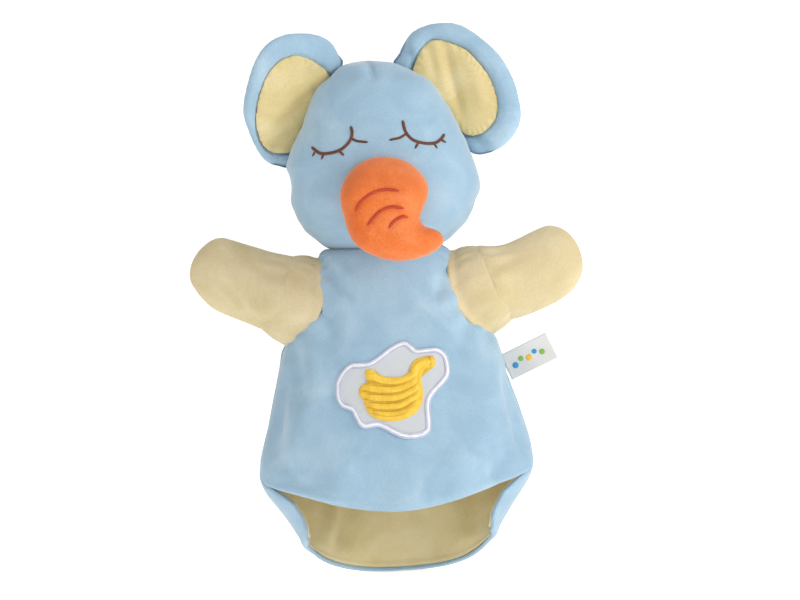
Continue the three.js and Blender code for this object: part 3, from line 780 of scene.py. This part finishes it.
for side, ear in ears.items():
    outline = spline(ear["outer"], 150, closed=True)
    middle = np.array(ear["middle"])
    drawn = outline - (middle - outline) * 0.012
    back = gridPiece(f"earBack_{side}", pillowGrid(drawn, middle, 18, 9.0, -0.5, 7.0), velboaBlue, wrap=True)
    stuff(back, 1.7, 1.2)
    co = coords(back) / mm
    lining = spline(ear["inner"], 140, closed=True)
    # the front dips inside the lining's outline, so a padded rim stands round it
    rimDistance = edgeDistance(co[:, 0], co[:, 2], lining)
    inside = withinLine(co[:, 0], co[:, 2], lining, middle)
    front = co[:, 1] < 3.4
    co[:, 1] += np.where(front & inside, 3.8 * smoothStep(rimDistance, -0.8, 1.6), 0)
    co[:, 1] += np.where(front & ~inside, 1.2 * np.exp(-(rimDistance / 2.2) ** 2), 0)
    co[:, 1] += np.where(front, 3.0 * smoothStep(-rootDistance(co[:, 0], co[:, 2], side), -7, -1), 0)
    leanEar(back, co, side)
    pad = gridPiece(f"earLining_{side}", pillowGrid(lining + (middle - lining) * 0.01, middle, 18, 3.6, 0.2,
                    6.0), velboaEarCream, wrap=True)
    stuff(pad, 1.4, 0.6)
    co = coords(pad) / mm
    for start, end, width, depth in ear["creases"]:
        co[:, 1] += segmentPull(co[:, 0], co[:, 2], start, end, width, depth) * (co[:, 1] < 2.4)
    rimDistance = edgeDistance(co[:, 0], co[:, 2], lining)
    turn = np.arctan2(co[:, 2] - middle[1], co[:, 0] - middle[0])
    gather = np.exp(-((rimDistance - 2.5) / 2) ** 2) * np.sin(turn * 34 + 3 * np.sin(turn * 5))
    co[:, 1] += 0.3 * gather * (co[:, 1] < 2.4)
    leanEar(pad, co, side)
    small = outline + (middle - outline) * 0.3
    wadding = gridPiece(f"earWadding_{side}", pillowGrid(small, middle, 12, 7.8, 6.2, 2.0), fibreWhite,
                        wrap=True)
    co = coords(wadding) / mm
    leanEar(wadding, co, side)
    for piece, nodes, slot in ((wadding, (f"ear_{side}_wadding",), "stuffing"),
                               (back, (f"ear_{side}_back",), "blue_plush"),
                               (pad, (f"ear_{side}_lining",), "cream_plush")):
        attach(piece, f"ear_{side}")
        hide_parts(*nodes)
print("ears made")


# ---------- arms ----------
arms = {  # distance from the shoulder along the arm, then the upper and lower edges' offsets from its axis
    "left": {"lift": 21, "along": [-20, -17, -13, -8, -4, 1, 7, 14, 25, 31, 37, 42, 46, 48, 48.6],
             "upper": [9, 13.8, 17.6, 20.4, 20.9, 20.4, 19.8, 19.7, 20, 20.2, 19.6, 16.6, 11, 5, 0],
             "lower": [-9, -13.8, -17.6, -20.4, -21.5, -22, -21.8, -21.4, -20.4, -19.2, -16.4, -13, -9.4, -5,
                       0]},
    "right": {"lift": 15, "along": [-20, -17, -13, -8, -4, 1, 7, 14, 25, 34, 39, 43, 46, 47.6],
              "upper": [9, 13.8, 17.6, 20.1, 20.2, 18.8, 17.8, 18, 19, 19, 16.8, 13.2, 8, 0],
              "lower": [-9, -13.8, -17.6, -20.6, -22, -23.2, -23.8, -24, -23, -20.6, -17.6, -13.6, -8, 0]}}


armFolds = {"left": [((-89, 165), (-70, 139), 2.6, 1.2), ((-48, 152), (-60, 135), 3.0, 1.3),
                     ((-45, 160), (-58, 168), 4, 0.9)],
            "right": [((46, 163), (62, 150), 3.0, 1.3), ((52, 168), (60, 158), 2.4, 1.2),
                      ((58, 140), (74, 146), 4, 1.0), ((48, 152), (58, 143), 3, 1.0)]}


def armGrid(side, rows, columns, less=0.0):
    # Rows run from the root to the paw; each is an oval between the upper and lower edges, rounder at the root
    # and flatter at the paw, with a seam line along the top and the bottom.
    arm = arms[side]
    s, upper, lower = spline(np.stack([arm["along"], arm["upper"], arm["lower"]], 1), rows).T
    half = np.maximum((upper - lower) / 2 - less, 0.02)
    middle = (upper + lower) / 2
    if less:
        s = s - less * smoothStep(s, 30, 48)
    angle = np.linspace(0, 2 * math.pi, columns, endpoint=False)
    flat = 1 - 0.26 * smoothStep(s, -4, 14)
    across = middle[:, None] + half[:, None] * np.cos(angle)
    y = (half * flat)[:, None] * np.sin(angle)
    lift = math.radians(arm["lift"])
    sign = -1 if side == "left" else 1
    x = shoulder[side][0] + sign * (s[:, None] * math.cos(lift) - across * math.sin(lift))
    z = shoulder[side][2] + s[:, None] * math.sin(lift) + across * math.cos(lift)
    grid = np.stack([x, y, z], -1)
    n = normals(grid)
    out = grid - grid.mean(axis=1, keepdims=True)
    n = n * np.sign((n * out).sum(-1).mean())
    pull = 0.5 * ripple(grid, 38, 21 if side == "left" else 22)
    pull -= 0.9 * np.exp(-(y / 1.8) ** 2) * smoothStep(s, -6, 4)[:, None]
    turn = angle[None]
    pucker = np.exp(-((s[:, None] - 3) / 8) ** 2)
    pull += 0.5 * pucker * np.sin(turn * 11 + 2 * np.sin(2 * turn + 1))
    pull *= smoothStep(s, -10, 2)[:, None]
    for start, end, width, depth in armFolds[side]:
        pull -= segmentPull(x, z, start, end, width, depth) * (y < 0)
    return grid + n * pull[..., None]


for side in arms:
    outer, inner = armGrid(side, 110, 120), armGrid(side, 110, 120, 2.0)
    skin = gridPiece(f"armSkin_{side}", np.concatenate([inner[::-1], outer]), velboaCream, wrap=True,
                     flip=side == "right")
    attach(skin, f"arm_{side}")
    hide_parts(f"arm_{side}_front_panel", f"arm_{side}_back_panel")
    outer, inner = armGrid(side, 60, 80, 2.7), armGrid(side, 60, 80, 3.6)
    sleeve = gridPiece(f"armSleeve_{side}", np.concatenate([inner[::-1], outer]), liningCream, wrap=True,
                       flip=side == "right")
    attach(sleeve, f"arm_{side}")
    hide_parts(f"arm_{side}_lining")
print("arms made")


# ---------- belly patch ----------
bodyTree = surfaceTree(bodyParts["front"])
cloud = [(-30, 103), (-30, 97), (-27.5, 92.5), (-22.5, 90), (-20.5, 86), (-18.5, 82), (-15.5, 80.3),
         (-9.5, 81),
         (-5.5, 79.5), (-1.5, 77), (3.5, 74.5), (8.5, 73.5), (13.5, 73.8), (17.5, 75.5), (19.5, 79),
         (19.5, 90),
         (21, 95), (24.5, 99), (28.5, 103), (31, 107), (31, 113), (29.5, 118), (25.5, 121), (20.5, 121.3),
         (14.5, 121), (12, 123), (8.5, 125.5), (4.5, 125), (-0.5, 122.5), (-5.5, 119), (-10.5, 116),
         (-14.5, 115.2), (-21.5, 115), (-26.5, 111), (-29.5, 106)]
cloudLine = spline(cloud, 220, closed=True)
cloudMiddle = np.array([0.0, 98.0])
innerCloud = drawIn(cloudLine, 1.4)
rings = np.linspace(0.002, 1, 22)[:, None, None] * (innerCloud - cloudMiddle)[None] + cloudMiddle
top, ways = layOn(bodyTree, rings.reshape(-1, 2), 0.9)
top = top.reshape(22, -1, 3)
low, _ = layOn(bodyTree, innerCloud, 0.05)
patch = gridPiece("patchCloth", np.concatenate([top, low[None]]), patchTwill, wrap=True, flip=True)
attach(patch, "torso")
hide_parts("belly_patch")
edgeLines = [("patchEdging", 1.1, 0.85, 0.6, threadWhite, 0.7),
             ("patchOuterLine", 0.0, 0.5, 0.7, threadLilac, 0.4),
             ("patchInnerLine", 2.2, 0.42, 0.6, threadLilac, 0.9)]   # inset, half width, height, thread, lift
edge = joinPieces("patchBorderStitching", [
    bandPiece(name, bodyTree, drawIn(cloudLine, inset), halfWidth, height, thread, lift=lift, closed=True,
              count=200)
    for name, inset, halfWidth, height, thread, lift in edgeLines])
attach(edge, "torso")
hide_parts("patch_border")

bunchLine = spline([(-14, 111.5), (-10.5, 112), (-7.5, 109.5), (-3.5, 107.5), (3.5, 106.8), (7.5, 108),
                    (10.5, 110.5),
                    (11, 113.5), (13.5, 116), (17.5, 117.2), (22.5, 117.3), (24, 115), (23.5, 111.8),
                    (18.5, 110.5), (16.5, 108), (16, 104), (16.5, 98), (15.5, 92), (12.5, 87.5), (8.5, 85),
                    (3.5, 83.5), (-2.5, 83.2), (-8.5, 84.5), (-12.5, 87), (-15, 91), (-16, 95), (-18, 98),
                    (-18, 101.5), (-16, 104), (-13.5, 104.5), (-14, 108)], 240, closed=True)
bunchMiddle = np.array([5.5, 98.0])
patchTree = surfaceTree(patch)
share = np.linspace(0.002, 1, 26)
rings = bunchMiddle + share[:, None, None] * (bunchLine - bunchMiddle)[None]
pad, ways = layOn(patchTree, rings.reshape(-1, 2), 0.0)
rim = edgeDistance(rings[..., 0], rings[..., 1], bunchLine)
pad = (pad + ways * (0.9 * np.sqrt(np.clip(1 - (1 - rim / 1.2) ** 2, 0, 1) * (rim < 1.2) + (rim >= 1.2))
                     ).reshape(-1, 1)).reshape(26, -1, 3)
bunchPad = gridPiece("bunchPad", np.concatenate([pad, pad[-1:] + [0, 0.6, 0]]), threadYellow, wrap=True,
                     flip=True,
                     uvSize=(110, 22))
# The bunch: each banana is a sagging satin-stitched ridge from the tips at the left to the stem at the right.
bananaRows = [
    [(-14.5, 110), (-10.5, 107.8), (-4.5, 105.2), (2, 104.4), (8, 105.4), (12.6, 109), (15.2, 112)],
    [(-17, 101.8), (-11.5, 101.2), (-4.5, 100.2), (4, 100.4), (10.6, 103.2), (14.6, 108.5)],
    [(-16.6, 97.6), (-11.5, 96.4), (-4.5, 95.6), (4, 96), (11.2, 99.4), (15, 105)],
    [(-14.8, 93.6), (-10, 91.8), (-3.5, 90.9), (4.5, 91.6), (11.6, 95.4), (15, 101)],
    [(-12.6, 89.2), (-8, 87.4), (-2, 86.6), (4.5, 87), (10.8, 90.4), (14.4, 96)],
    [(11.6, 108), (13.6, 111.6), (16.4, 113.8), (20, 114.3), (23.2, 114.4)]]
ridges = [bunchPad] + [bandPiece(f"banana_{i}", patchTree, line, 2.5 if i < 5 else 2.3, 1.75, threadYellow,
                                 lift=0.1,
                                 taper=5.0 if i < 5 else 2.0) for i, line in enumerate(bananaRows)]
lines = [[(-15, 105.6), (-10, 104.4), (-3, 102.8), (5, 103), (11, 105.6)],
         [(-16.8, 100.4), (-11, 99), (-4, 98), (4.5, 98.4), (11.8, 101.6)],
         [(-16.4, 96), (-11, 94.4), (-4, 93.4), (4.5, 94), (12.4, 97.8)],
         [(-14.6, 91.6), (-9.5, 90), (-3, 89), (4.5, 89.6), (12.4, 93.8)],
         [(-12, 88), (-7.5, 86.6), (-2, 85.7), (4.5, 86.2), (10.6, 89.2)],
         [(20.5, 117.4), (21.4, 114.6), (21, 111.4)]]
ridges += [bandPiece(f"bananaLine_{i}", patchTree, line, 0.42, 0.5, threadGold, lift=1.3, taper=3.0)
           for i, line in enumerate(lines)]
bunch = joinPieces("bananaBunchEmbroidery", ridges)
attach(bunch, "torso")
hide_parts("banana_bunch")
print("patch made")


# ---------- side label ----------
label = {"foot": (62.4, 108.5), "length": 27.5, "width": 15.0, "slant": 23.0, "gap": 0.9}
slant = math.radians(label["slant"])
out = np.array([math.cos(slant), math.sin(slant)])
upward = np.array([-math.sin(slant), math.cos(slant)])
leaf = np.linspace(0, 1, 28)
run = np.r_[leaf, np.ones(4), 1 - leaf]
turnAngle = np.r_[np.full(28, -math.pi / 2), np.linspace(-math.pi / 2, math.pi / 2, 6)[1:-1],
                  np.full(28, math.pi / 2)]
stretch = run * (label["length"] - label["gap"]) + np.where(run == 1, np.cos(turnAngle) * label["gap"], 0)
layer = label["gap"] * np.sin(turnAngle)
bow = 1.6 * np.sin(run * math.pi * 0.9) ** 2
across = np.linspace(-0.5, 0.5, 20) * label["width"]
plane = np.array(label["foot"]) + stretch[:, None, None] * out + across[None, :, None] * upward
labelGrid = np.stack([plane[..., 0], np.broadcast_to((layer - bow)[:, None], plane.shape[:2])
                      + 0.5 * np.cos(across / 5)[None], plane[..., 1]], -1)
ribbon = gridPiece("sideLabelRibbon", labelGrid, ribbonSatin)
addModifier(ribbon, "SOLIDIFY", thickness=0.35 * mm, offset=0.0)
applyModifiers(ribbon)
ribbonTree = surfaceTree(ribbon)
# thin ink sunk into the ribbon's weave: flat colour, slightly glossy
inks = {name: newMaterial(name, Base_Color=srgb(colour), Roughness=0.5)[0]
        for name, colour in (("printBlue", "2f8fc9"), ("printGreen", "79b548"), ("printYellow", "efb735"))}
dots = [(5.2, -1.2, 1.7, "printBlue"), (9.4, 0.9, 1.5, "printGreen"), (13.6, -0.6, 1.7, "printYellow"),
        (17.6, 1.2, 1.4, "printBlue"), (21.4, -0.8, 1.6, "printGreen")]   # along, over, radius, ink
marks = []
for i, (along, over, radius, ink) in enumerate(dots):
    angle = np.linspace(0, 2 * math.pi, 32, endpoint=False)
    share = np.array([0.01, 0.5, 1, 1])[:, None]
    place = (np.array(label["foot"]) + (along + share * radius * np.cos(angle))[..., None] * out
             + (over + share * radius * np.sin(angle))[..., None] * upward)
    disc, ways = layOn(ribbonTree, place.reshape(-1, 2), 0.06)
    disc = disc.reshape(4, -1, 3)
    disc[3] += [0, 0.1, 0]
    marks.append(gridPiece(f"labelDot_{i}", disc, inks[ink], wrap=True, flip=True))
for mark in marks:
    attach(mark, "label")
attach(ribbon, "label")
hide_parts("side_label")
print("label made")


# ---------- carried-over inner pieces get their own finishes ----------
inner = {liningCream: ["finger_pocket", "neck_lining"],
         velboaBlue: ["neck_seam"],
         fibreWhite: ["head_stuffing"]}
for material, names in inner.items():
    for name in names:
        for slotItem in frame["nodes"][name].material_slots:
            slotItem.material = material
print("inner pieces finished")


for piece in list(bpy.data.objects):
    if piece.type == "MESH" and piece.name not in carriedOver:
        faceOut(piece)


# ---------- floor, light and camera ----------
def paleSheet():  # floor and backdrop in one sheet: level, curving up far behind
    t = np.linspace(0, math.pi / 2, 16)
    y = np.r_[-8000, 6500 + 1000 * np.sin(t), 7500]
    z = np.r_[0, 1000 - 1000 * np.cos(t), 7000]
    x = np.linspace(-8000, 8000, 2)
    grid = np.stack([np.broadcast_to(x[None], (len(y), 2)), np.broadcast_to(y[:, None], (len(y), 2)),
                     np.broadcast_to((z + cadBox[0][2] / mm - 1.0)[:, None], (len(y), 2))], -1)
    # a shooting table lit from beneath: plain white
    material = newMaterial("backlitAcrylic", Base_Color=srgb("f4f4f4"), Roughness=0.9,
                           Emission_Color=srgb("ffffff"), Emission_Strength=0.6)[0]
    gridPiece("backdrop", grid, material)


paleSheet()


def softLight(name, place, power, size, target=(0, 0, 0.15)):
    light = bpy.data.lights.new(name, "AREA")
    light.energy, light.shape, light.size = power, "DISK", size
    lamp = bpy.data.objects.new(name, light)
    lamp.location = place
    lamp.rotation_euler = (Vector(target) - Vector(place)).to_track_quat("-Z", "Y").to_euler()
    bpy.context.scene.collection.objects.link(lamp)


softLight("frontLight", (0.2, -2.2, 0.15), 6, 1.2)
softLight("keyLight", (1.4, -0.8, 0.75), 13, 0.5)
softLight("topLight", (-0.4, -0.3, 1.4), 4, 0.7)
world = bpy.context.scene.world or bpy.data.worlds.new("World")
bpy.context.scene.world = world
world.use_nodes = True
world.node_tree.nodes["Background"].inputs["Color"].default_value = (1, 1, 1, 1)
world.node_tree.nodes["Background"].inputs["Strength"].default_value = 0.36
bpy.context.scene.view_settings.view_transform = "Standard"

view = {"roll": 3.2, "target": (6.8, 0.0, 148.4), "distance": 5000.0, "widthSeen": 435.6}
roll = math.radians(view["roll"])
camera = bpy.data.cameras.new("camera")
camera.lens = camera.sensor_width * view["distance"] / view["widthSeen"]
camera.clip_end = 30
eye = bpy.data.objects.new("camera", camera)
turned = Matrix(((math.cos(roll), math.sin(roll), 0), (0, 0, -1), (-math.sin(roll), math.cos(roll), 0)))
eye.matrix_world = Matrix.Translation(Vector(view["target"]) * mm - Vector((0, view["distance"] * mm, 0))
                                      ) @ turned.to_4x4()
bpy.context.scene.collection.objects.link(eye)
bpy.context.scene.camera = eye
